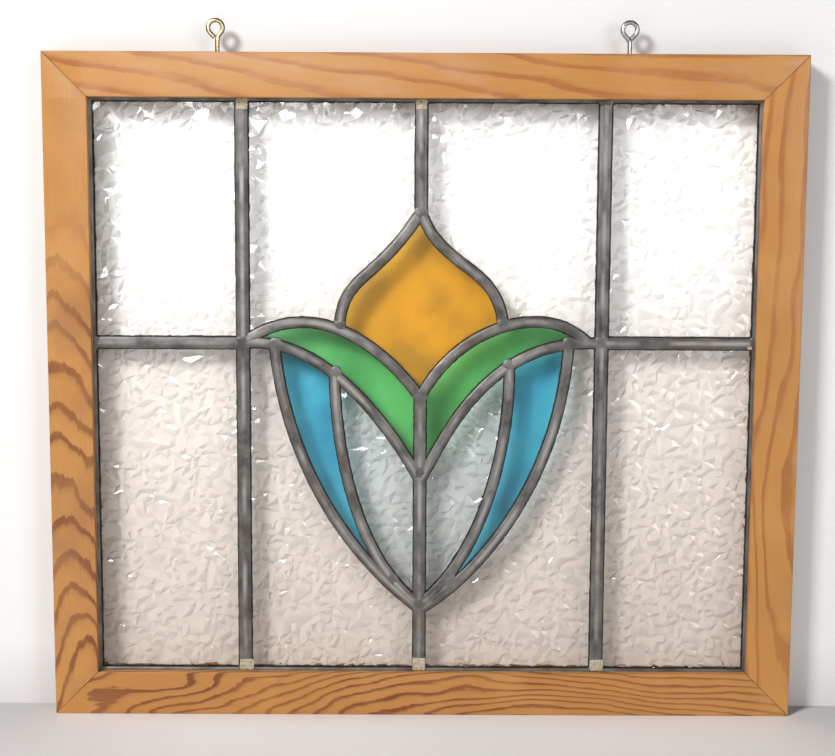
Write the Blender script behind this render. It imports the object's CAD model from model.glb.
"""Looks of a leaded tulip window: varnished pine, lead cames, crystal and coloured glass, screw eyes."""

import logging
import math
import random
from collections.abc import Callable, Iterator, Sequence
from contextlib import contextmanager
from dataclasses import dataclass
from enum import Enum
from typing import Any

import bmesh
import bpy
from mathutils import Matrix, Vector, geometry


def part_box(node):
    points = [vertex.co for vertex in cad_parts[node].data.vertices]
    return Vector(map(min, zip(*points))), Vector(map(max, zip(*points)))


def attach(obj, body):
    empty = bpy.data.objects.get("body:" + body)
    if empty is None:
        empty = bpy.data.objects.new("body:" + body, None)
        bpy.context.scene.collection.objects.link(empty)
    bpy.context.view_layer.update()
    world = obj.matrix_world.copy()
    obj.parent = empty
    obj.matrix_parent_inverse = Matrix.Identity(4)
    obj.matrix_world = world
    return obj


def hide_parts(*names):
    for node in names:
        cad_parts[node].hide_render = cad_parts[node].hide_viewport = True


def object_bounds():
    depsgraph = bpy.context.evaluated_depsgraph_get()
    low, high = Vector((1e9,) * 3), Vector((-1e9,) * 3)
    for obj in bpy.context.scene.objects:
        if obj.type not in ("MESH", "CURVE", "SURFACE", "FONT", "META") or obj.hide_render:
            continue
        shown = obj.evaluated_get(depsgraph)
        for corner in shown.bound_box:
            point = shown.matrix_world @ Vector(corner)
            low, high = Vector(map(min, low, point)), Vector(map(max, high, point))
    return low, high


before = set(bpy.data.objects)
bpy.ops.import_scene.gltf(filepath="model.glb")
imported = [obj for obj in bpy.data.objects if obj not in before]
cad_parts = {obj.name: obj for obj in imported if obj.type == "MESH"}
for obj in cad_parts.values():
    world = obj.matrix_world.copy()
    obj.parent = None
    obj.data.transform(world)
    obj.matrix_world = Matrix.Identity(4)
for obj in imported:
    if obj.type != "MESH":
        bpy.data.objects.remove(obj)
cad_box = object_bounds()

MM = 0.001
ROOT = "root"
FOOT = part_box("rail_bottom")[0].z
RAIL_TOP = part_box("rail_top")[1].z
FRONT_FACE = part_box("rail_bottom")[0].y
BACK_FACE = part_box("rail_bottom")[1].y
WOOD_MIDDLE = (FRONT_FACE + BACK_FACE) / 2
PANEL_Y = (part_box("lead_border_left")[0].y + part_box("lead_border_left")[1].y) / 2
FACING = 0.9  # a face looks one way when its normal reaches this far that way
SAME_POINT = MM / 100

log = logging.getLogger("window")

Point = tuple[float, float]
Triple = tuple[float, float, float]
Colour = Triple
Piece = bpy.types.Object
Material = bpy.types.Material
Socket = bpy.types.NodeSocket


# ---- the bench


def take(*pieces: Piece) -> None:
    """Selects these pieces alone and makes the first one active.

    Args:
        pieces: What the next operator acts on.
    """
    bpy.ops.object.select_all(action="DESELECT")
    for piece in pieces:
        piece.select_set(True)
    bpy.context.view_layer.objects.active = pieces[0]


def settle(piece: Piece) -> Piece:
    """Moves an object's place, turn and scale into its mesh.

    Args:
        piece: The mesh object to settle.

    Returns:
        The same object, at the origin.
    """
    take(piece)
    bpy.ops.object.transform_apply(location=True, rotation=True, scale=True)
    return piece


def stand_up(piece: Piece, plane: float = PANEL_Y) -> Piece:
    """Stands a piece made flat on the bench (x right, y up the window, z forward) in the window.

    Args:
        piece: The piece, with heights measured from the underside of the frame.
        plane: Where the bench's own plane comes to stand, along y.

    Returns:
        The same object, upright and settled.
    """
    piece.rotation_euler = (math.pi / 2, 0, 0)
    piece.location = (0, plane, FOOT)
    return settle(piece)


@contextmanager
def editing(piece: Piece, mode: str = "FACE") -> Iterator[None]:
    """Opens a piece in edit mode with nothing selected, and closes it again.

    Args:
        piece: The mesh object to edit.
        mode: The select mode: VERT, EDGE or FACE.
    """
    take(piece)
    bpy.ops.object.mode_set(mode="EDIT")
    bpy.ops.mesh.select_mode(type=mode)
    bpy.ops.mesh.select_all(action="DESELECT")
    yield
    bpy.ops.object.mode_set(mode="OBJECT")


def pick(kind: str, test: Callable[[Any], bool]) -> None:
    """Selects, in edit mode, the elements that pass a test and nothing else.

    Args:
        kind: Which elements: verts, edges or faces.
        test: Says whether an element is wanted.
    """
    data = bpy.context.edit_object.data
    mesh = bmesh.from_edit_mesh(data)
    for element in (*mesh.faces, *mesh.edges, *mesh.verts):
        element.select_set(False)
    for element in getattr(mesh, kind):
        if test(element):
            element.select_set(True)
    bmesh.update_edit_mesh(data)


def pick_all() -> None:
    """Selects everything in edit mode."""
    bpy.ops.mesh.select_all(action="SELECT")


def extrude(shift: Sequence[float]) -> None:
    """Extrudes what is selected in edit mode."""
    bpy.ops.mesh.extrude_region_move(TRANSFORM_OT_translate={"value": tuple(shift)})


def step_along(length: float, step: float) -> None:
    """Cuts a length that lies along x into short steps, in edit mode.

    Args:
        length: How long it is.
        step: The length of a step.
    """
    pick("edges", lambda edge: abs(edge.verts[0].co.x - edge.verts[1].co.x) > length / 2)
    bpy.ops.mesh.subdivide(number_cuts=round(length / step))


def added(name: str, operator: Callable[..., Any], **settings: Any) -> Piece:
    """Adds an object by one of Blender's operators.

    Args:
        name: The object's name.
        operator: The operator.
        settings: Its settings.

    Returns:
        The new object.
    """
    bpy.ops.object.select_all(action="DESELECT")
    operator(**settings)
    piece = bpy.context.active_object
    piece.name = name
    return piece


def add_box(name: str, low: Sequence[float], high: Sequence[float]) -> Piece:
    """Adds a cube primitive at its size and place.

    Args:
        name: The piece's name.
        low: Its lowest corner.
        high: Its highest corner.

    Returns:
        The new object, settled.
    """
    piece = added(name, bpy.ops.mesh.primitive_cube_add, size=1)
    piece.scale = [high[i] - low[i] for i in range(3)]
    piece.location = [(high[i] + low[i]) / 2 for i in range(3)]
    return settle(piece)


def apply_modifier(piece: Piece, kind: str, **settings: Any) -> None:
    """Adds a modifier to a piece and applies it.

    Args:
        piece: The mesh object.
        kind: The modifier's type.
        settings: Values of its properties.
    """
    modifier = piece.modifiers.new(kind.lower(), kind)
    for key, value in settings.items():
        setattr(modifier, key, value)
    take(piece)
    bpy.ops.object.modifier_apply(modifier=modifier.name)


def roughen(piece: Piece, depth: float, grain: float, level: float = 0.5) -> None:
    """Works the surface of a piece unevenly, as hand work leaves it.

    Args:
        piece: The mesh object.
        depth: The whole height of the unevenness.
        grain: The size of its lumps.
        level: 0.5 works in and out alike, and 1 only inwards.
    """
    cloud = bpy.data.textures.new(f"{piece.name}_cloud", "CLOUDS")
    cloud.noise_scale = grain
    cloud.noise_depth = 2
    apply_modifier(piece, "DISPLACE", texture=cloud, strength=depth, mid_level=level)
    bpy.data.textures.remove(cloud)


def smooth(piece: Piece, degrees: float) -> None:
    """Shades a piece smooth, apart from the edges that turn by more than an angle.

    Args:
        piece: The mesh object.
        degrees: That angle.
    """
    take(piece)
    bpy.ops.object.shade_smooth_by_angle(angle=math.radians(degrees))


def dress(piece: Piece, material: Material) -> None:
    """Gives a piece one material all over.

    Args:
        piece: The mesh object.
        material: Its finish.
    """
    piece.data.materials.clear()
    piece.data.materials.append(material)


def mount(piece: Piece, material: Material, nodes: Sequence[str] = ()) -> None:
    """Dresses a finished piece and fixes it to the window.

    Args:
        piece: The finished mesh object.
        material: Its finish.
        nodes: The plain solids that it stands for.
    """
    dress(piece, material)
    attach(piece, ROOT)
    if nodes:
        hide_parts(*nodes)
    log.info("%s: %d faces", piece.name, len(piece.data.polygons))


def joined(name: str, pieces: Sequence[Piece]) -> Piece:
    """Joins several meshes into one piece.

    Args:
        name: The new piece's name.
        pieces: The meshes to join.

    Returns:
        The joined object.
    """
    take(*pieces)
    bpy.ops.object.join()
    pieces[0].name = name
    return pieces[0]


# ---- materials


class Recipe:
    """A procedural material being mixed from shader nodes."""

    def __init__(self, name: str) -> None:
        """Starts an empty material.

        Args:
            name: The material's name.
        """
        self.material = bpy.data.materials.new(name)
        self.material.use_nodes = True
        self.tree = self.material.node_tree
        self.tree.nodes.clear()
        self.place = self.node("TexCoord").outputs["Object"]

    def feed(self, socket: Socket, value: Any) -> None:
        """Feeds an input.

        Args:
            socket: The input.
            value: An output to link to it, or its value; a colour has no alpha.
        """
        if isinstance(value, Socket):
            self.tree.links.new(value, socket)
        else:
            socket.default_value = (*value, 1) if socket.type == "RGBA" else value

    def node(self, kind: str, inputs: dict[Any, Any] | None = None, **settings: Any) -> bpy.types.Node:
        """Adds a node.

        Args:
            kind: Its type, without the ShaderNode that all of them start with.
            inputs: A value or a socket for each input, by name or number.
            settings: Values of its properties.

        Returns:
            The new node.
        """
        made = self.tree.nodes.new(f"ShaderNode{kind}")
        for key, value in settings.items():
            setattr(made, key, value)
        for key, value in (inputs or {}).items():
            self.feed(made.inputs[key], value)
        return made

    def math(self, operation: str, *values: float | Socket) -> Socket:
        """Works out one number from others."""
        return self.node("Math", dict(enumerate(values)), operation=operation).outputs[0]

    def times(self, a: float | Socket, b: float | Socket) -> Socket:
        """Multiplies two numbers."""
        return self.math("MULTIPLY", a, b)

    def plus(self, a: float | Socket, b: float | Socket) -> Socket:
        """Adds two numbers."""
        return self.math("ADD", a, b)

    def axis(self, vector: Socket, number: int) -> Socket:
        """Gives one coordinate of a vector."""
        return self.node("SeparateXYZ", {0: vector}).outputs[number]

    def mapped(
        self, scale: Triple = (1, 1, 1), turn: Triple = (0, 0, 0), shift: Triple = (0, 0, 0)
    ) -> Socket:
        """Gives the place on the object, moved, turned and scaled."""
        inputs = {"Vector": self.place, "Location": shift, "Rotation": turn, "Scale": scale}
        return self.node("Mapping", inputs).outputs[0]

    def noise(self, vector: Socket, scale: float, detail: float = 2, rough: float = 0.5) -> Socket:
        """Gives soft noise from 0 to 1."""
        inputs = {"Vector": vector, "Scale": scale, "Detail": detail, "Roughness": rough}
        return self.node("TexNoise", inputs).outputs[0]

    def ramp(self, factor: Socket, stops: Sequence[tuple[float, Colour]]) -> Socket:
        """Turns a number into a colour.

        Args:
            factor: The number.
            stops: Numbers in order, each with its colour.

        Returns:
            The colour.
        """
        made = self.node("ValToRGB", {0: factor})
        elements = made.color_ramp.elements
        while len(elements) < len(stops):
            elements.new(1)
        for element, (position, colour) in zip(elements, stops):
            element.position = position
            element.color = (*colour, 1)
        return made.outputs[0]

    def range(self, factor: Socket, low: float, high: float, first: float = 0, last: float = 1) -> Socket:
        """Maps a number from one range to another, and holds it there."""
        return self.node("MapRange", {0: factor, 1: low, 2: high, 3: first, 4: last}).outputs[0]

    def mix(self, factor: float | Socket, a: Any, b: Any, blend: str = "MIX") -> Socket:
        """Mixes two colours."""
        return self.node("Mix", {0: factor, 6: a, 7: b}, data_type="RGBA", blend_type=blend).outputs[2]

    def either(self, factor: Socket, a: Socket, b: Socket) -> Socket:
        """Chooses between two shaders."""
        return self.node("MixShader", {0: factor, 1: a, 2: b}).outputs[0]

    def bump(self, height: Socket, depth: float, strength: float = 1) -> Socket:
        """Turns a height from 0 to 1 into a bumped normal."""
        return self.node("Bump", {"Height": height, "Distance": depth, "Strength": strength}).outputs[0]

    def surface(self, **inputs: Any) -> Socket:
        """Adds the main shader; underscores in names stand for spaces."""
        named = {key.replace("_", " "): value for key, value in inputs.items()}
        return self.node("BsdfPrincipled", named).outputs[0]

    def finish(self, shader: Socket) -> Material:
        """Closes the material with its output."""
        self.node("OutputMaterial", {"Surface": shader})
        return self.material

    def glazed(self, colour: Socket, rough: float, cast: Colour | Socket) -> Material:
        """Closes the material as clear glass of a colour.

        Args:
            colour: What it lets through.
            rough: How far its surface scatters light.
            cast: The light that it lets fall on things behind it.

        Returns:
            The material.
        """
        glass = self.surface(Base_Color=colour, Roughness=rough, IOR=1.5, Transmission_Weight=1.0)
        clear = self.node("BsdfTransparent", {0: cast}).outputs[0]
        return self.finish(self.either(self.node("LightPath").outputs["Is Shadow Ray"], glass, clear))


class Run(Enum):
    """Which way the grain of a length of wood runs."""

    ACROSS = "x"
    UPRIGHT = "z"


@dataclass(frozen=True)
class PineFinish:
    """Varnished pine cut so that the year rings show on its face.

    The rings lie round an axis that runs along the grain below the face and comes nearer to it along the
    way, so that they cut the face in nested arches.
    """

    name: str
    run: Run
    axis: float = 0.0
    slope: float = 0.0
    depth: float = 0.05
    taper: float = -0.15
    ring: float = 0.006
    wander: float = 0.006
    contrast: float = 1.0
    fade: Point | None = None
    stain: float = 0.0
    haze: float = 0.0
    start: float = 0.0
    early: Colour = (0.58, 0.27, 0.068)
    late: Colour = (0.22, 0.06, 0.015)
    pale: Colour = (0.7, 0.36, 0.11)
    brown: Colour = (0.33, 0.14, 0.065)
    hazed: Colour = (0.6, 0.34, 0.25)
    scuffed: Colour = (0.78, 0.6, 0.47)

    def material(self) -> Material:
        """Mixes the finish.

        Returns:
            The material.
        """
        mix = Recipe(self.name)
        level = self.run is Run.ACROSS
        x, deep, z = mix.node("SeparateXYZ", {0: mix.place}).outputs
        along, across = (x, z) if level else (z, x)
        stretched = (2.2, 1, 7) if level else (7, 1, 2.2)
        thready = mix.mapped((6, 260, 260) if level else (260, 260, 6))
        wave = mix.noise(mix.mapped(stretched, shift=(self.start, 0, self.start)), 2.4, 2.5)
        sway = mix.times(mix.math("SUBTRACT", wave, 0.5), 6 * self.wander)
        lean = mix.math("MULTIPLY_ADD", along, -self.slope, -self.axis)
        side = mix.plus(mix.plus(across, lean), sway)
        under = mix.plus(mix.plus(mix.math("MULTIPLY_ADD", along, self.taper, self.depth), deep), sway)
        reach = mix.math("SQRT", mix.plus(mix.math("POWER", side, 2), mix.math("POWER", under, 2)))
        reach = mix.math("MULTIPLY_ADD", mix.noise(thready, 1.6, 3, 0.6), 0.0022, reach)
        reach = mix.math("MULTIPLY_ADD", mix.noise(mix.mapped((90, 90, 90)), 1.2), 0.0012, reach)
        ring = mix.math("FRACT", mix.math("DIVIDE", reach, self.ring))
        shades = ((0.5, 0), (0.66, 0.3), (0.74, 1), (0.93, 1), (0.98, 0))
        figure = mix.ramp(ring, [(stop, (shade, shade, shade)) for stop, shade in shades])
        strength = mix.range(mix.noise(mix.place, 17), 0.3, 0.6, 0.6 * self.contrast, self.contrast)
        if self.fade:
            strength = mix.times(strength, mix.range(along, *self.fade))
        colour = mix.mix(mix.times(figure, strength), self.early, self.late)
        fibre = mix.noise(thready, 5, 3, 0.6)
        colour = mix.mix(mix.range(fibre, 0.35, 0.7, 0, 0.16), colour, self.late)
        cloud = mix.noise(mix.mapped(shift=(self.start, 0, 0)), 22, 3)
        colour = mix.mix(mix.range(cloud, 0.45, 0.75, 0, 0.35), colour, self.pale)
        if self.stain:
            patch = mix.noise(mix.mapped(shift=(0, self.start, 0)), 15, 3, 0.6)
            colour = mix.mix(mix.range(patch, 0.45, 0.68, 0, self.stain), colour, self.brown)
        if self.haze:
            streak = mix.noise(mix.mapped((10, 1, 34), turn=(0, 0.6, 0)), 1.6, 3, 0.65)
            colour = mix.mix(mix.range(streak, 0.5, 0.72, 0, self.haze), colour, self.hazed)
        scuff = mix.noise(mix.mapped((190, 1, 60), turn=(0, 0.5, 0)), 2.2, 4, 0.7)
        where = mix.range(mix.noise(mix.mapped(shift=(0, 0, self.start)), 11), 0.5, 0.66)
        marks = mix.times(mix.range(scuff, 0.66, 0.74, 0, 0.55), where)
        colour = mix.mix(marks, colour, self.scuffed)
        height = mix.math("MULTIPLY_ADD", fibre, 0.35, mix.times(figure, 0.4))
        sheen = mix.range(cloud, 0.3, 0.7, 0.3, 0.44)
        normal = mix.bump(height, 0.12 * MM, 0.6)
        return mix.finish(mix.surface(Base_Color=colour, Roughness=sheen, Normal=normal))


@dataclass(frozen=True)
class LeadFinish:
    """Old lead came: dull grey-brown, darker in the hollows, with long satin streaks."""

    name: str
    dark: Colour = (0.075, 0.068, 0.064)
    light: Colour = (0.22, 0.21, 0.198)
    warm: Colour = (0.14, 0.105, 0.08)
    metal: float = 0.55
    worn: float = 0.75
    flecked: Colour = (0.4, 0.39, 0.37)
    rubbed: Colour = (0.5, 0.49, 0.475)

    def material(self) -> Material:
        """Mixes the finish.

        Returns:
            The material.
        """
        mix = Recipe(self.name)
        drawn = mix.node("UVMap", uv_map="drawn").outputs[0]
        lanes = mix.node("Mapping", {"Vector": drawn, "Scale": (28, 900, 1)}).outputs[0]
        streak = mix.noise(lanes, 1.0, 3, 0.6)
        patch = mix.noise(mix.place, 55, 3, 0.55)
        fleck = mix.noise(mix.place, 420)
        colour = mix.mix(mix.range(patch, 0.35, 0.68), self.dark, self.light)
        colour = mix.mix(mix.range(streak, 0.45, 0.72, 0, 0.45), colour, self.light)
        colour = mix.mix(mix.range(mix.noise(mix.place, 19), 0.52, 0.72, 0, 0.6), colour, self.warm)
        colour = mix.mix(mix.range(fleck, 0.66, 0.8, 0, 0.5), colour, self.flecked)
        if self.worn:
            off_crown = mix.math("PINGPONG", mix.axis(drawn, 1), UV_SHIFT / 2)
            crown = mix.range(off_crown, 0.4 * MM, 2.4 * MM, 1, 0)
            rub = mix.range(mix.noise(mix.place, 24, 3, 0.6), 0.42, 0.62, 0, self.worn)
            colour = mix.mix(mix.times(crown, rub), colour, self.rubbed)
        rough = mix.math("MULTIPLY_ADD", streak, 0.25, 0.3)
        normal = mix.bump(mix.plus(mix.times(streak, 0.6), fleck), 0.1 * MM, 0.5)
        return mix.finish(
            mix.surface(Base_Color=colour, Metallic=self.metal, Roughness=rough, Normal=normal)
        )


@dataclass(frozen=True)
class MottledFinish:
    """A filler or a bare metal in two tones, a little grainy."""

    name: str
    first: Colour
    second: Colour
    grain: float = 260
    blend: Point = (0.35, 0.65)
    rough: Point = (0.85, 0.85)
    metal: float = 0
    relief: float = 0.2 * MM
    crisp: float = 0.6

    def material(self) -> Material:
        """Mixes the finish.

        Returns:
            The material.
        """
        mix = Recipe(self.name)
        mottle = mix.noise(mix.place, self.grain, 3, 0.6)
        colour = mix.mix(mix.range(mottle, *self.blend), self.first, self.second)
        rough = mix.range(mottle, 0.3, 0.7, *self.rough)
        normal = mix.bump(mottle, self.relief, self.crisp)
        return mix.finish(
            mix.surface(Base_Color=colour, Metallic=self.metal, Roughness=rough, Normal=normal)
        )


@dataclass(frozen=True)
class StainedFinish:
    """Glass coloured through, with clouds of a second colour."""

    name: str
    body: Colour
    cloud: Colour
    cloud_scale: float = 24
    rough: float = 0.3
    cast: float = 0.12

    def material(self) -> Material:
        """Mixes the finish.

        Returns:
            The material.
        """
        mix = Recipe(self.name)
        cloud = mix.noise(mix.place, self.cloud_scale, 2.5, 0.55)
        colour = mix.mix(mix.range(cloud, 0.42, 0.68), self.body, self.cloud)
        return mix.glazed(colour, self.rough, mix.mix(self.cast, (1, 1, 1), colour))


@dataclass(frozen=True)
class CrystalFinish:
    """Clear chipped glass: each facet has its own shade, and dust dulls it towards the foot."""

    name: str
    tint: Colour = (1, 1, 1)
    lit: Colour = (1.06, 1.06, 1.06)
    deep: Colour = (0.5, 0.5, 0.5)
    foot: Colour = (0.6, 0.54, 0.49)
    middle: Colour = (0.74, 0.7, 0.67)
    head: Colour = (0.87, 0.865, 0.855)
    rough: float = 0.05
    cast: Colour = (0.93, 0.93, 0.93)

    def material(self) -> Material:
        """Mixes the finish.

        Returns:
            The material.
        """
        mix = Recipe(self.name)
        rise = mix.range(mix.axis(mix.place, 2), FOOT, RAIL_TOP)
        dust = mix.ramp(rise, [(0.06, self.foot), (0.53, self.middle), (0.72, self.head), (1, self.head)])
        facet = mix.node("Attribute", attribute_name="facet").outputs["Fac"]
        shade = mix.ramp(facet, [(0, self.lit), (1, self.deep)])
        colour = mix.mix(1.0, mix.mix(1.0, dust, shade, "MULTIPLY"), self.tint, "MULTIPLY")
        return mix.glazed(colour, self.rough, self.cast)


# ---- wooden frame


@dataclass
class PineMember:
    """One mitred length of the frame, grooved on its inner edge for the panel."""

    node: str
    finish: PineFinish
    length: float
    middle: Point
    quarter_turns: int
    face: float = 33.5 * MM
    thickness: float = BACK_FACE - FRONT_FACE
    groove_width: float = 6.8 * MM
    groove_depth: float = 6.3 * MM
    eased: float = 0.8 * MM
    mitre_gap: float = 0.18 * MM
    cut_every: float = 5 * MM
    planed: float = 0.02 * MM
    blunted: float = 0.12 * MM
    uneven: float = 0.16 * MM
    waviness: float = 22 * MM

    def blank(self) -> Piece:
        """Planes the plain length: x along it, y in from the outer edge, z to the front."""
        half, thick = self.length / 2, self.thickness / 2
        return add_box(f"pine_{self.node}", (-half, self.planed, -thick), (half, self.face, thick))

    def plough(self, piece: Piece) -> None:
        """Ploughs the groove along the inner edge.

        Args:
            piece: The plain length.
        """
        middle = WOOD_MIDDLE - PANEL_Y
        half = self.groove_width / 2

        def floor(face: bmesh.types.BMFace) -> bool:
            """Tells whether a face is the strip of the inner edge between the two lines."""
            return face.normal.y > FACING and abs(face.calc_center_median().z - middle) < half / 2

        with editing(piece):
            for side in (middle - half, middle + half):
                pick_all()
                bpy.ops.mesh.bisect(plane_co=(0, 0, side), plane_no=(0, 0, 1))
            pick("faces", floor)
            extrude((0, -self.groove_depth, 0))

    def ease(self, piece: Piece) -> None:
        """Eases the four long arrises and cuts the length into short steps for its uneven surface.

        Args:
            piece: The grooved length.
        """
        thick = self.thickness / 2

        def arris(edge: bmesh.types.BMEdge) -> bool:
            """Tells whether an edge runs along a corner of the front or the back."""
            a, b = (vert.co for vert in edge.verts)
            return abs(a.x - b.x) > self.length / 2 and abs(abs(a.z + b.z) / 2 - thick) < SAME_POINT

        with editing(piece, "EDGE"):
            pick("edges", arris)
            bpy.ops.mesh.bevel(offset=self.eased, segments=4, profile=0.55)
            step_along(self.length, self.cut_every)

    def mitre(self, piece: Piece) -> None:
        """Saws both ends off at forty-five degrees and takes the sharpness off the cuts.

        Args:
            piece: The eased length.
        """
        reach = self.length / 2 - self.mitre_gap / math.sqrt(2)
        with editing(piece, "EDGE"):
            for side in (1, -1):
                place, facing = (side * reach, 0, 0), (side, 1, 0)
                pick_all()
                bpy.ops.mesh.bisect(plane_co=place, plane_no=facing, use_fill=True, clear_outer=True)
            pick("edges", lambda edge: any(len(face.verts) > 8 for face in edge.link_faces))
            bpy.ops.mesh.bevel(offset=self.blunted, segments=2)

    def build(self) -> None:
        """Makes the member and puts it in its place."""
        piece = self.blank()
        self.plough(piece)
        self.ease(piece)
        self.mitre(piece)
        piece.rotation_euler = (0, 0, self.quarter_turns * math.pi / 2)
        piece.location = (*self.middle, 0)
        stand_up(settle(piece), WOOD_MIDDLE)
        roughen(piece, self.uneven, self.waviness, level=1)
        smooth(piece, 40)
        mount(piece, self.finish.material(), [self.node])


@dataclass
class PineFrame:
    """The four members round the panel."""

    finishes: dict[str, PineFinish]
    width: float = cad_box[1].x - cad_box[0].x
    height: float = RAIL_TOP - FOOT

    def build(self) -> None:
        """Makes the four members."""
        half = self.width / 2
        places = {
            "rail_bottom": (self.width, (0, 0), 0),
            "stile_right": (self.height, (half, self.height / 2), 1),
            "rail_top": (self.width, (0, self.height), 2),
            "stile_left": (self.height, (-half, self.height / 2), 3),
        }
        for node, (length, middle, turns) in places.items():
            PineMember(node, self.finishes[node], length, middle, turns).build()


# ---- leadwork

CHANNEL = 3.6 * MM
HEART = 1.6 * MM
BORDER, UPRIGHT, CROSSBAR, DESIGN = 8 * MM, 9.5 * MM, 9 * MM, 7.5 * MM
HEART_X, HEART_LOW, HEART_HIGH = 254.5, 31.5, 476.5
PANEL_LOW, PANEL_HIGH = 27.5, 480.5
LEFT_UPRIGHT, RIGHT_UPRIGHT, STEM = -138.5, 135.5, -3
BUD_TIP, LEAF_NOTCH, LEAF_TIP = (STEM, 391), (STEM, 249), (STEM, 184)
PETAL_TIP, PETAL_FORK = (STEM, 83), (STEM, 86)
UV_SHIFT = 0.02  # how far the front of a came lies from its back on the map that its streaks follow

# Straight leads: start, end and width. Places on the panel are in millimetres, from the frame's underside.
LINES: dict[str, tuple[Point, Point, float]] = {
    "border_left": ((-HEART_X, PANEL_LOW), (-HEART_X, PANEL_HIGH), BORDER),
    "border_right": ((HEART_X, PANEL_LOW), (HEART_X, PANEL_HIGH), BORDER),
    "border_top": ((-HEART_X, HEART_HIGH), (HEART_X, HEART_HIGH), BORDER),
    "border_bottom": ((-HEART_X, HEART_LOW), (HEART_X, HEART_LOW), BORDER),
    "upright_left": ((LEFT_UPRIGHT, HEART_LOW), (LEFT_UPRIGHT, HEART_HIGH), UPRIGHT),
    "upright_right": ((RIGHT_UPRIGHT, HEART_LOW), (RIGHT_UPRIGHT, HEART_HIGH), UPRIGHT),
    "crossbar_left": ((-HEART_X, 290.5), (LEFT_UPRIGHT, 290.5), CROSSBAR),
    "crossbar_right": ((RIGHT_UPRIGHT, 291.5), (HEART_X, 291.5), CROSSBAR),
    "stem_top": (BUD_TIP, (STEM, HEART_HIGH), CROSSBAR),
    "stem_middle": (PETAL_TIP, LEAF_NOTCH, CROSSBAR),
    "stem_bottom": ((STEM, HEART_LOW), PETAL_TIP, CROSSBAR),
}

# Curved leads of the tulip: start, two handles and end of one cubic each.
CURVES: dict[str, tuple[Point, Point, Point, Point]] = {
    "bud_left": (BUD_TIP, (-37, 336), (-64, 344), (-65, 300)),
    "bud_right": (BUD_TIP, (12, 346), (57, 352), (60, 303.5)),
    "leaf_upper_left": ((LEFT_UPRIGHT, 291), (-82, 331), (-29, 285), LEAF_NOTCH),
    "leaf_upper_right": ((125, 291.5), (93, 325), (25, 304), LEAF_NOTCH),
    "leaf_lower_left": ((LEFT_UPRIGHT, 290), (-67, 300), (-10, 198), LEAF_TIP),
    "leaf_lower_right": ((RIGHT_UPRIGHT, 291), (46, 298), (13, 211), LEAF_TIP),
    "petal_outer_left": ((-114.5, 289), (-108, 216), (-73, 136), PETAL_TIP),
    "petal_outer_right": ((110.5, 290.5), (103, 155), (10, 87), PETAL_TIP),
    "petal_inner_left": ((-68.5, 267), (-69, 248), (-65, 132), PETAL_FORK),
    "petal_inner_right": ((65, 273), (67, 231), (54, 131), PETAL_FORK),
}


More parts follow.
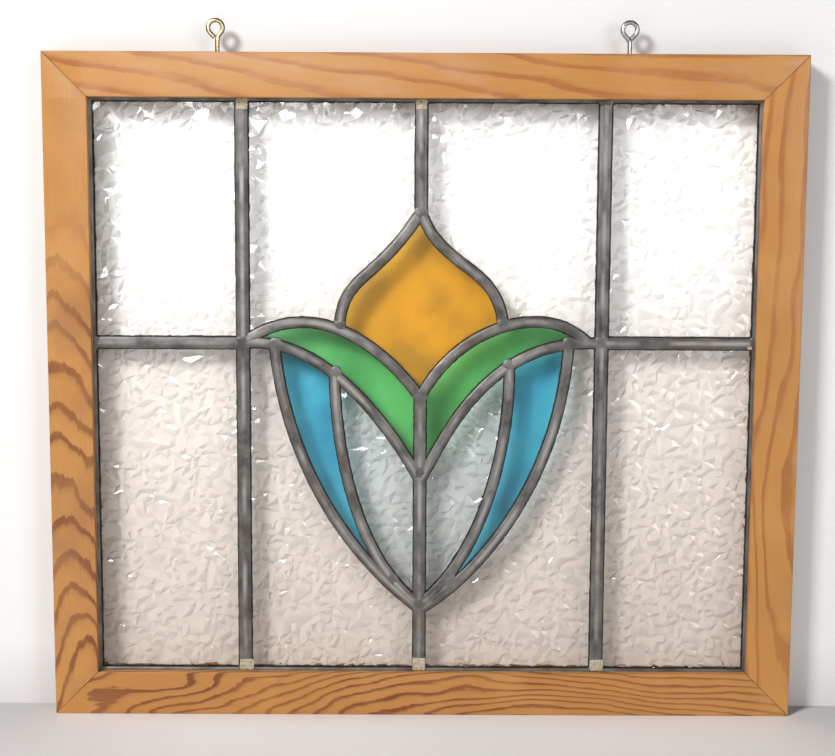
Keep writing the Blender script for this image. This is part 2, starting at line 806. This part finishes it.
@dataclass
class Came:
    """One length of lead came on its line, with the cement that beds the glass in it."""

    name: str
    line: tuple[Point, Point, Point, Point]
    width: float
    step: float = 2.2 * MM
    cement_shows: float = 0.7 * MM
    bed_lows: Point = (1.52 * MM, -1.95 * MM)
    bed_thick: float = 0.43 * MM
    ragged: float = 0.35 * MM
    uneven: float = 0.5 * MM
    dents: float = 6 * MM

    # The domed leaf above the channel: millimetres over the heart's middle, and share of the width.
    leaf: Sequence[Point] = (
        (1.8, 1.0), (2.1, 1.0), (2.38, 0.95), (2.66, 0.8), (2.9, 0.58), (3.04, 0.34), (3.1, 0.12)
    )

    def guide(self) -> Piece:
        """Draws the came's line as a curve on the bench.

        Returns:
            The curve object.
        """
        curve = added("guide", bpy.ops.curve.primitive_bezier_curve_add)
        curve.data.dimensions = "2D"
        curve.data.resolution_u = 64
        start, first, second, end = (Vector((x * MM, y * MM, 0)) for x, y in self.line)
        for point, co, before, after in zip(
            curve.data.splines[0].bezier_points, (start, end), (start, second), (first, end)
        ):
            point.handle_left_type = point.handle_right_type = "FREE"
            point.co, point.handle_left, point.handle_right = co, before, after
        return curve

    def straight(self, length: float) -> Piece:
        """Models the came straight: x along it, y across, z through the panel.

        Args:
            length: Its length.

        Returns:
            The mesh object.
        """
        rim = CHANNEL / 2
        piece = add_box(f"came_{self.name}", (0, -HEART / 2, -rim), (length, HEART / 2, rim))
        with editing(piece, "EDGE"):
            step_along(length, self.step)
            bpy.ops.mesh.select_mode(type="FACE")
            for side in (1, -1):
                pick("faces", lambda face: all(
                    value * side > FACING for value in (face.normal.z, face.calc_center_median().z / rim)
                ))
                height, spread = rim, HEART / self.width
                for to_height, to_spread in self.leaf:
                    extrude((0, 0, side * (to_height * MM - height)))
                    bpy.ops.transform.resize(value=(1, to_spread / spread, 1), center_override=(0, 0, 0))
                    height, spread = to_height * MM, to_spread
        self.draw_uv(piece)
        return piece

    def cement(self, length: float) -> list[Piece]:
        """Models the two ragged beds of cement under the leaves.

        Args:
            length: The came's length.

        Returns:
            The bed at the front and the one at the back.
        """
        beds = []
        half = self.width / 2 + self.cement_shows
        for number, low in enumerate(self.bed_lows):
            bed = add_box("cement_bed", (0, -half, low), (length, half, low + self.bed_thick))
            with editing(bed, "EDGE"):
                step_along(length, self.step)
                pick("edges", lambda edge: all(0 < vert.co.x < length for vert in edge.verts))
                bpy.ops.transform.vertex_random(offset=self.ragged, seed=number + len(self.name) * 7)
                pick_all()
                bpy.ops.transform.resize(value=(1, 1, 0.3), center_override=(0, 0, low + 0.2 * MM))
            beds.append(bed)
        return beds

    def draw_uv(self, piece: Piece) -> None:
        """Lays a map along the came, so that its streaks follow the bends.

        Args:
            piece: The straight came.
        """
        layer = piece.data.uv_layers.new(name="drawn")
        for loop in piece.data.loops:
            co = piece.data.vertices[loop.vertex_index].co
            layer.data[loop.index].uv = (co.x, co.y + (UV_SHIFT if co.z > 0 else 0))

    def build(self, lead: Material) -> list[Piece]:
        """Makes the came and lays it on its line.

        Args:
            lead: The finish of the metal.

        Returns:
            The beds of cement, still to be joined with the others.
        """
        guide = self.guide()
        length = guide.data.splines[0].calc_length()
        came = self.straight(length)
        beds = self.cement(length)
        for piece in (came, *beds):
            apply_modifier(piece, "CURVE", object=guide, deform_axis="POS_X")
            stand_up(piece)
        bpy.data.objects.remove(guide)
        roughen(came, self.uneven, self.dents)
        smooth(came, 50)
        mount(came, lead, [f"lead_{self.name}"])
        return beds


@dataclass
class Solder:
    """The run of solder over one joint, on both faces of the panel."""

    x: float
    height: float
    size: Point
    turn: float
    rise: float = 0.9 * MM
    base: float = 2.4 * MM

    def build(self) -> list[Piece]:
        """Makes the two domes of solder.

        Returns:
            The domes, at the front and at the back.
        """
        domes = []
        for side in (1, -1):
            add = bpy.ops.mesh.primitive_uv_sphere_add
            dome = added("solder_dome", add, segments=28, ring_count=16, radius=1)
            dome.scale = (self.size[0] / 2 * MM, self.size[1] / 2 * MM, self.rise)
            dome.rotation_euler = (0, 0, math.radians(self.turn))
            dome.location = (self.x * MM, self.height * MM, side * self.base)
            settle(dome)
            roughen(dome, 0.45 * MM, 3.2 * MM)
            stand_up(dome)
            smooth(dome, 60)
            domes.append(dome)
        return domes


@dataclass
class Putty:
    """One dab of putty left on the leads beside the wood."""

    x: float
    height: float
    size: Point
    depths: Point = (2.2 * MM, 3.5 * MM)

    def build(self) -> Piece:
        """Makes the dab.

        Returns:
            The dab.
        """
        wide, high = (value * MM / 2 for value in self.size)
        low, top = self.depths
        dab = add_box("putty_dab", (-wide, -high, low), (wide, high, top))
        with editing(dab, "EDGE"):
            pick_all()
            bpy.ops.mesh.subdivide(number_cuts=7)
            bpy.ops.mesh.vertices_smooth(factor=0.5, repeat=2)
        dab.location = (self.x * MM, self.height * MM, 0)
        settle(dab)
        roughen(dab, 1.1 * MM, 2.4 * MM)
        stand_up(dab)
        smooth(dab, 60)
        return dab


@dataclass
class Leadwork:
    """All the cames, their cement, and the solder and putty on their joints."""

    lead: LeadFinish = LeadFinish("old_lead")
    tinned: LeadFinish = LeadFinish(
        "tinned_solder", (0.085, 0.08, 0.077), (0.25, 0.245, 0.24), (0.13, 0.11, 0.09), metal=0.6, worn=0
    )
    black: MottledFinish = MottledFinish("black_cement", (0.008, 0.007, 0.006), (0.03, 0.025, 0.02))
    cream: MottledFinish = MottledFinish(
        "dried_putty", (0.36, 0.3, 0.2), (0.62, 0.56, 0.44), grain=500, rough=(0.8, 0.8)
    )

    # Joints: place, width, height and turn in degrees. Dabs: place, width and height.
    joints: Sequence[tuple[float, float, float, float, float]] = (
        (LEFT_UPRIGHT, 291, 12, 12, 0), (RIGHT_UPRIGHT, 292, 12, 12, 0), (STEM, 390, 11, 10, 0),
        (-64.6, 304.5, 9.5, 9, 0), (60, 306.5, 9.5, 9, 0), (STEM, 250, 11, 11, 0), (STEM, 191, 12, 15, 0),
        (-113.5, 290.5, 10, 9, 0), (110.5, 292, 10, 9, 0), (-67.8, 268, 9.5, 10, 0), (64.5, 274, 9.5, 10, 0),
        (STEM, 86, 13, 13, 0), (-24, 107, 12, 8, -50), (20, 106, 12, 8, 50),
        (LEFT_UPRIGHT, 473, 11, 7, 0), (RIGHT_UPRIGHT, 473, 11, 7, 0), (STEM, 473, 11, 7, 0),
        (LEFT_UPRIGHT, 35, 12, 8, 0), (RIGHT_UPRIGHT, 35, 12, 8, 0), (STEM, 35, 12, 8, 0),
        (-251.5, 290.5, 8, 11, 0), (251.5, 291.5, 8, 11, 0),
    )
    dabs: Sequence[tuple[float, float, float, float]] = (
        (LEFT_UPRIGHT + 0.6, 470.4, 8.5, 8.5), (STEM, 470.8, 8, 7.5), (LEFT_UPRIGHT + 1, 38, 11, 8.5),
        (STEM, 38.6, 10, 10), (RIGHT_UPRIGHT + 0.5, 38.2, 10.5, 9), (248.5, 288.5, 3.5, 2.5),
    )

    def build(self) -> None:
        """Makes every lead, then joins the cement, the solder and the putty into a piece each."""
        lead = self.lead.material()
        beds: list[Piece] = []
        for name, (start, end, width) in LINES.items():
            a, b = Vector(start), Vector(end)
            line = (start, tuple(a.lerp(b, 1 / 3)), tuple(a.lerp(b, 2 / 3)), end)
            beds += Came(name, line, width).build(lead)
        for name, line in CURVES.items():
            beds += Came(name, line, DESIGN).build(lead)
        mount(joined("cement", beds), self.black.material())
        domes: list[Piece] = []
        for x, height, wide, high, turn in self.joints:
            domes += Solder(x, height, (wide, high), turn).build()
        solder = joined("solder_joints", domes)
        solder.data.uv_layers[0].name = "drawn"
        mount(solder, self.tinned.material())
        putty = [Putty(x, height, (wide, high)).build() for x, height, wide, high in self.dabs]
        mount(joined("putty", putty), self.cream.material())


# ---- glass


class Cut(Enum):
    """How a pane's front is worked."""

    CRYSTAL = "chipped into fans of facets"
    ROLLED = "rolled smooth, with slow waves"


@dataclass
class Pane:
    """One pane of glass, cut to its lead lines and worked on its front."""

    name: str
    material: Material
    cut: Cut
    slot: str
    seed: int
    thickness: float = 3 * MM
    edge_step: float = 4.0
    skin: float = 0.1
    fan: float = 15.0
    stray: float = 5.0
    row_rise: float = 0.86
    net: float = 3.2
    wave_height: float = 0.05

    def outline(self) -> list[Vector]:
        """Reads the pane's outline from its plain solid.

        Returns:
            The corners in order, in millimetres on the bench.
        """
        mesh = bmesh.new()
        mesh.from_mesh(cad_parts[f"glass_{self.name}"].data)
        bmesh.ops.remove_doubles(mesh, verts=mesh.verts, dist=SAME_POINT)
        mesh.normal_update()
        front = {face for face in mesh.faces if face.normal.y < -FACING}
        onward = {}
        for face in front:
            for loop in face.loops:
                if not any(other in front for other in loop.edge.link_faces if other is not face):
                    onward[loop.vert.index] = loop.link_loop_next.vert.index
        mesh.verts.ensure_lookup_table()
        at = next(iter(onward))
        points = []
        while at in onward:
            co = mesh.verts[at].co
            points.append(Vector((co.x / MM, (co.z - FOOT) / MM)))
            at = onward.pop(at)
        mesh.free()
        rounded = []
        for a, b in zip(points, points[1:] + points[:1]):
            steps = max(1, round((b - a).length / self.edge_step))
            rounded += [a.lerp(b, i / steps) for i in range(steps)]
        return rounded

    def fans(self, low: Vector, high: Vector) -> list[tuple[Vector, float]]:
        """Scatters fans of chips: a hub each, with ridges and hollows round it by turns.

        Args:
            low: The pane's lower left corner.
            high: Its upper right corner.

        Returns:
            Points on the front, each with its depth below the face.
        """
        dice = random.Random(self.seed)
        points = []
        y, row = low.y, 0
        while y < high.y + self.fan:
            x = low.x + (row % 2) * self.fan / 2
            while x < high.x + self.fan:
                hub = Vector([at + dice.uniform(-self.stray, self.stray) for at in (x, y)])
                points.append((hub, dice.choice((0.0, 0.1, 0.9))))
                blades = dice.randint(8, 12)
                start = dice.uniform(0, math.tau)
                reach = self.fan * dice.uniform(0.3, 0.5)
                long_way, lean = dice.uniform(1.0, 1.6), dice.uniform(0, math.pi)
                for i in range(blades):
                    angle = start + math.tau * (i + dice.uniform(-0.22, 0.22)) / blades
                    drawn_out = 1 + (long_way - 1) * abs(math.cos(angle - lean))
                    radius = reach * drawn_out * dice.uniform(0.8, 1.15)
                    depth = dice.uniform(0.0, 0.2) if i % 2 else dice.uniform(0.5, 1.1)
                    points.append((hub + radius * Vector((math.cos(angle), math.sin(angle))), depth))
                x += self.fan
            y += self.fan * self.row_rise
            row += 1
        return points

    def waves(self, low: Vector, high: Vector) -> list[tuple[Vector, float]]:
        """Lays an even net of points with the slow waves of rolled glass.

        Args:
            low: The pane's lower left corner.
            high: Its upper right corner.

        Returns:
            Points on the front, each with its depth below the face.
        """
        dice = random.Random(self.seed)
        step = self.net
        points = []
        for row in range(math.ceil((high.y - low.y) / step)):
            for column in range(math.ceil((high.x - low.x) / step)):
                x = low.x + (column + (row % 2) / 2 + dice.uniform(-0.1, 0.1)) * step
                y = low.y + row * step
                wave = math.sin(x / 4.1 + 1.7 * math.sin(y / 9.0)) * math.sin(y / 5.3 + self.seed)
                points.append((Vector((x, y)), 0.09 + self.wave_height * wave))
        return points

    def front(self) -> Piece:
        """Lays the worked front as one sheet on the bench.

        Returns:
            The open sheet.
        """
        ring = self.outline()
        low = Vector((min(p.x for p in ring), min(p.y for p in ring)))
        high = Vector((max(p.x for p in ring), max(p.y for p in ring)))
        worked = self.fans(low, high) if self.cut is Cut.CRYSTAL else self.waves(low, high)
        net = ring + [point for point, _ in worked]
        depths = [self.skin] * len(ring) + [depth for _, depth in worked]
        edge = [list(range(len(ring)))]
        flat, _, faces, origin, _, _ = geometry.delaunay_2d_cdt(net, [], edge, 1, 1e-3)
        top = self.thickness / 2
        verts = [
            (co.x * MM, co.y * MM, top - depths[origin[i][0]] * MM if origin[i] else top)
            for i, co in enumerate(flat)
        ]
        mesh = bpy.data.meshes.new(self.name)
        mesh.from_pydata(verts, [], faces)
        piece = bpy.data.objects.new(f"pane_{self.name}", mesh)
        bpy.context.scene.collection.objects.link(piece)
        return piece

    def build(self) -> None:
        """Makes the pane."""
        piece = self.front()
        with editing(piece, "VERT"):
            pick("verts", lambda vert: not vert.link_faces)
            bpy.ops.mesh.delete(type="VERT")
            bpy.ops.mesh.select_mode(type="FACE")
            pick_all()
            extrude((0, 0, -self.thickness))
            bpy.ops.transform.resize(value=(1, 1, 0), center_override=(0, 0, -self.thickness / 2))
            pick_all()
            bpy.ops.mesh.normals_make_consistent(inside=False)
        self.shade_facets(piece)
        stand_up(piece)
        smooth(piece, 9 if self.cut is Cut.CRYSTAL else 40)
        mount(piece, self.material, [f"glass_{self.name}"])

    def shade_facets(self, piece: Piece) -> None:
        """Notes over each facet how far it turns from the light, and how deep in the glass it lies.

        Args:
            piece: The pane, still on the bench.
        """
        shade = piece.data.attributes.new("facet", "FLOAT", "CORNER")
        dice = random.Random(self.seed)
        top = self.thickness / 2
        for face in piece.data.polygons:
            tilt = 0.25 - 2.6 * (0.8 * face.normal.y - 0.5 * face.normal.x) + dice.uniform(-0.12, 0.12)
            for corner in face.loop_indices:
                depth = (top - piece.data.vertices[piece.data.loops[corner].vertex_index].co.z) / MM
                value = tilt + 0.3 * (depth - 0.4) if face.normal.z > 0.1 else 0.2
                shade.data[corner].value = min(1.0, max(0.0, value))


@dataclass
class Glazing:
    """All the panes."""

    crystal: CrystalFinish = CrystalFinish("crystal_glass")
    heart: CrystalFinish = CrystalFinish("crystal_heart", tint=(0.8, 0.9, 0.94))
    amber: StainedFinish = StainedFinish("amber_glass", (0.62, 0.36, 0.035), (0.44, 0.27, 0.04), 34)
    green: StainedFinish = StainedFinish("green_glass", (0.16, 0.5, 0.19), (0.1, 0.35, 0.125), 24)
    blue: StainedFinish = StainedFinish("blue_glass", (0.1, 0.47, 0.58), (0.06, 0.3, 0.44), 22)

    def build(self) -> None:
        """Makes every pane."""
        sides = ("left", "right")
        groups = [
            (self.crystal, Cut.CRYSTAL, "clear_glass", [
                f"{place}_{side}" for place in ("corner_top", "corner_bottom", "field_top", "field_bottom")
                for side in sides
            ]),
            (self.heart, Cut.CRYSTAL, "clear_glass", [f"heart_{side}" for side in sides]),
            (self.amber, Cut.ROLLED, "amber_glass", ["bud"]),
            (self.green, Cut.ROLLED, "green_glass", [f"leaf_{side}" for side in sides]),
            (self.blue, Cut.ROLLED, "blue_glass", [f"petal_{side}" for side in sides]),
        ]
        seed = 11
        for finish, cut, slot, names in groups:
            material = finish.material()
            for name in names:
                Pane(name, material, cut, slot, seed).build()
                seed += 1


# ---- screw eyes


@dataclass
class ScrewEye:
    """A wire ring on a threaded shank that is driven into the top rail."""

    name: str
    slot: str
    finish: MottledFinish
    x: float
    shank: float
    turn: int
    wire: float = 3.3 * MM
    ring: float = 5.5 * MM
    neck: float = 10 * MM
    tail: float = 4.4 * MM
    buried: float = 3 * MM
    ring_steps: int = 36
    shank_end: float = 38 * MM
    point: float = 5 * MM

    def route(self) -> list[Vector]:
        """Follows the wire: out of the shank, three quarters round the ring, and back to the shank.

        Returns:
            Points on the wire's line.
        """
        join = self.ring / math.sqrt(2)
        foot = Vector((self.turn * self.shank, -self.neck))
        corner = Vector((self.turn * self.shank, -2 * join + self.turn * self.shank))
        meet = Vector((join, -join))
        points = [foot - Vector((0, self.buried)), foot]
        points += [foot.lerp(corner, t / 5).lerp(corner.lerp(meet, t / 5), t / 5) for t in range(1, 5)]
        for i in range(self.ring_steps + 1):
            angle = -math.pi / 4 + 1.5 * math.pi * i / self.ring_steps
            points.append(self.ring * Vector((math.cos(angle), math.sin(angle))))
        points.append(points[-1] + self.tail / math.sqrt(2) * Vector((1, -1)))
        return [Vector((self.x + self.turn * p.x, 0, p.y)) for p in points]

    def bend_wire(self) -> Piece:
        """Bends the wire and makes it a mesh.

        Returns:
            The wire.
        """
        wire = added("wire", bpy.ops.curve.primitive_nurbs_path_add)
        route = self.route()
        spline = wire.data.splines[0]
        spline.points.add(len(route) - len(spline.points))
        for point, co in zip(spline.points, route):
            point.co = (*co, 1)
        spline.order_u = 3
        spline.use_endpoint_u = True
        spline.resolution_u = 3
        wire.data.bevel_depth = self.wire / 2
        wire.data.bevel_resolution = 6
        wire.data.use_fill_caps = True
        take(wire)
        bpy.ops.object.convert(target="MESH")
        wire = bpy.context.active_object
        with editing(wire):
            pick_all()
            bpy.ops.mesh.remove_doubles(threshold=SAME_POINT)
            bpy.ops.mesh.normals_make_consistent(inside=False)
        return wire

    def turn_shank(self) -> Piece:
        """Turns the shank and draws it out to its point.

        Returns:
            The shank.
        """
        top, low = -self.neck - MM, self.point - self.shank_end
        middle = (self.x + self.shank, 0, (top + low) / 2)
        shank = settle(added(
            "shank", bpy.ops.mesh.primitive_cylinder_add, vertices=24, radius=self.wire / 2,
            depth=top - low, location=middle,
        ))
        with editing(shank):
            pick("faces", lambda face: face.normal.z < -FACING)
            extrude((0, 0, -self.point))
            bpy.ops.transform.resize(value=(0.15, 0.15, 1), center_override=(self.x + self.shank, 0, 0))
        return shank

    def build(self) -> None:
        """Makes the screw eye."""
        eye = settle(joined(self.name, [self.bend_wire(), self.turn_shank()]))
        smooth(eye, 45)
        mount(eye, self.finish.material(), [f"screw_{self.name}"])


# ---- stage, light, eye


@dataclass
class Studio:
    """A pale floor, a white wall close behind, soft lights and the camera."""

    wall_gap: float = 2.5 * MM
    room_size: float = 8
    room_light: float = 0.85
    backdrop: Colour = (0.9, 0.9, 0.9)
    wall_foot: Colour = (0.76, 0.74, 0.745)
    wall_tone: Colour = (0.92, 0.92, 0.92)
    camera_place: Triple = (-9.1 * MM, -1100.9 * MM, -136.1 * MM)
    camera_yaw: float = 0.206
    camera_pitch: float = 6.56
    camera_roll: float = 0.30
    lens: float = 62.2

    def floor(self) -> None:
        """Lays the floor."""
        place = (0, 0, FOOT)
        floor = added("floor", bpy.ops.mesh.primitive_plane_add, size=self.room_size, location=place)
        mix = Recipe("pale_floor")
        dress(floor, mix.finish(mix.surface(Base_Color=(0.93, 0.915, 0.915), Roughness=0.7)))

    def wall(self) -> None:
        """Stands the wall close behind the window; it shows only from the front."""
        place, turn = (0, BACK_FACE + self.wall_gap, 0), (math.pi / 2, 0, 0)
        add = bpy.ops.mesh.primitive_plane_add
        wall = settle(added("wall", add, size=self.room_size, location=place, rotation=turn))
        mix = Recipe("white_wall")
        rise = mix.range(mix.axis(mix.place, 2), FOOT, FOOT + 50 * MM)
        white = mix.surface(Base_Color=mix.mix(rise, self.wall_foot, self.wall_tone), Roughness=0.8)
        clear = mix.node("BsdfTransparent").outputs[0]
        dress(wall, mix.finish(mix.either(mix.node("NewGeometry").outputs["Backfacing"], white, clear)))
        wall.visible_shadow = wall.visible_glossy = wall.visible_diffuse = False

    def light(
        self, name: str, place: Triple, size: float, power: float, colour: Colour = (1, 1, 1)
    ) -> Piece:
        """Hangs one square soft light that faces the window.

        Args:
            name: The light's name.
            place: Where it hangs.
            size: The length of its side.
            power: Its power in watts.
            colour: The colour of its light.

        Returns:
            The light.
        """
        lamp = added(name, bpy.ops.object.light_add, type="AREA", location=place)
        lamp.data.size = size
        lamp.data.energy = power
        lamp.data.color = colour
        target = Vector((0, 0, (FOOT + RAIL_TOP) / 2))
        lamp.rotation_euler = (target - lamp.location).to_track_quat("-Z", "Y").to_euler()
        return lamp

    def world(self) -> None:
        """Fills the room with even light, and shows it paler than it lights."""
        world = bpy.data.worlds.new("room")
        world.use_nodes = True
        nodes, links = world.node_tree.nodes, world.node_tree.links
        background = nodes["Background"]
        background.inputs["Strength"].default_value = self.room_light
        backdrop = nodes.new("ShaderNodeBackground")
        backdrop.inputs["Color"].default_value = (*self.backdrop, 1)
        seen = nodes.new("ShaderNodeLightPath")
        both = nodes.new("ShaderNodeMixShader")
        sources = (seen.outputs["Is Camera Ray"], background.outputs[0], backdrop.outputs[0])
        for number, source in enumerate(sources):
            links.new(source, both.inputs[number])
        links.new(both.outputs[0], nodes["World Output"].inputs["Surface"])
        bpy.context.scene.world = world

    def camera(self) -> None:
        """Sets the camera in front of the window, a little above its middle."""
        yaw, pitch, roll = map(math.radians, (self.camera_yaw, self.camera_pitch, self.camera_roll))
        flat = math.cos(pitch)
        ahead = Vector((math.sin(yaw) * flat, math.cos(yaw) * flat, -math.sin(pitch)))
        level = Vector((math.cos(yaw), -math.sin(yaw), 0))
        over = level.cross(ahead)
        right = math.cos(roll) * level + math.sin(roll) * over
        up = right.cross(ahead)
        camera = added("camera", bpy.ops.object.camera_add, location=self.camera_place)
        camera.rotation_euler = Matrix((right, up, -ahead)).transposed().to_euler()
        camera.data.lens = self.lens
        camera.data.sensor_width = 36
        camera.data.clip_start = 0.01
        bpy.context.scene.camera = camera

    def build(self) -> None:
        """Sets up the whole studio."""
        self.camera()
        self.floor()
        self.wall()
        self.light("key_light", (-1.25, -1.5, 1.0), 0.5, 44, (1, 0.99, 0.975))
        self.light("fill_light", (1.3, -1.7, 0.2), 0.9, 12)
        glint = self.light("glint_light", (-0.25, -1.15, 0.15), 0.25, 3)
        glint.visible_diffuse = False
        self.world()
        bpy.context.scene.view_settings.view_transform = "Standard"


def main() -> None:
    """Builds the studio and the window, piece by piece."""
    logging.basicConfig(level=logging.INFO, format="%(name)s: %(message)s")
    Studio().build()
    pine = {
        "rail_bottom": PineFinish(
            "pine_bottom", Run.ACROSS, axis=-0.545, slope=-0.06, depth=0.045, taper=-0.2, ring=0.0052,
            start=1, early=(0.52, 0.235, 0.056),
        ),
        "rail_top": PineFinish(
            "pine_top", Run.ACROSS, axis=0.03, slope=-0.1, depth=0.03, taper=-0.12, ring=0.013,
            wander=0.009, contrast=0.7, haze=0.4, start=2, late=(0.36, 0.1, 0.022),
        ),
        "stile_left": PineFinish(
            "pine_left", Run.UPRIGHT, axis=-0.27, depth=0.135, taper=0.22, ring=0.0065,
            fade=(-0.13, -0.21), stain=0.5, start=4,
        ),
        "stile_right": PineFinish(
            "pine_right", Run.UPRIGHT, axis=0.31, slope=0.05, depth=0.02, taper=0.06, ring=0.014,
            wander=0.009, contrast=0.75, stain=0.2, start=6, late=(0.36, 0.11, 0.022),
        ),
    }
    PineFrame(pine).build()
    Leadwork().build()
    Glazing().build()
    drawn_wire = {
        "grain": 300, "blend": (0.4, 0.7), "rough": (0.22, 0.42),
        "metal": 1, "relief": 0.08 * MM, "crisp": 0.5,
    }
    brass = MottledFinish("brassed_wire", (0.72, 0.6, 0.36), (0.42, 0.33, 0.17), **drawn_wire)
    steel = MottledFinish("steel_wire", (0.62, 0.61, 0.59), (0.34, 0.33, 0.31), **drawn_wire)
    ScrewEye("eye_left", "eye_brass", brass, x=-157.5 * MM, shank=1.3 * MM, turn=1).build()
    ScrewEye("eye_right", "eye_steel", steel, x=152.5 * MM, shank=0, turn=-1).build()


if __name__ == "__main__":
    main()
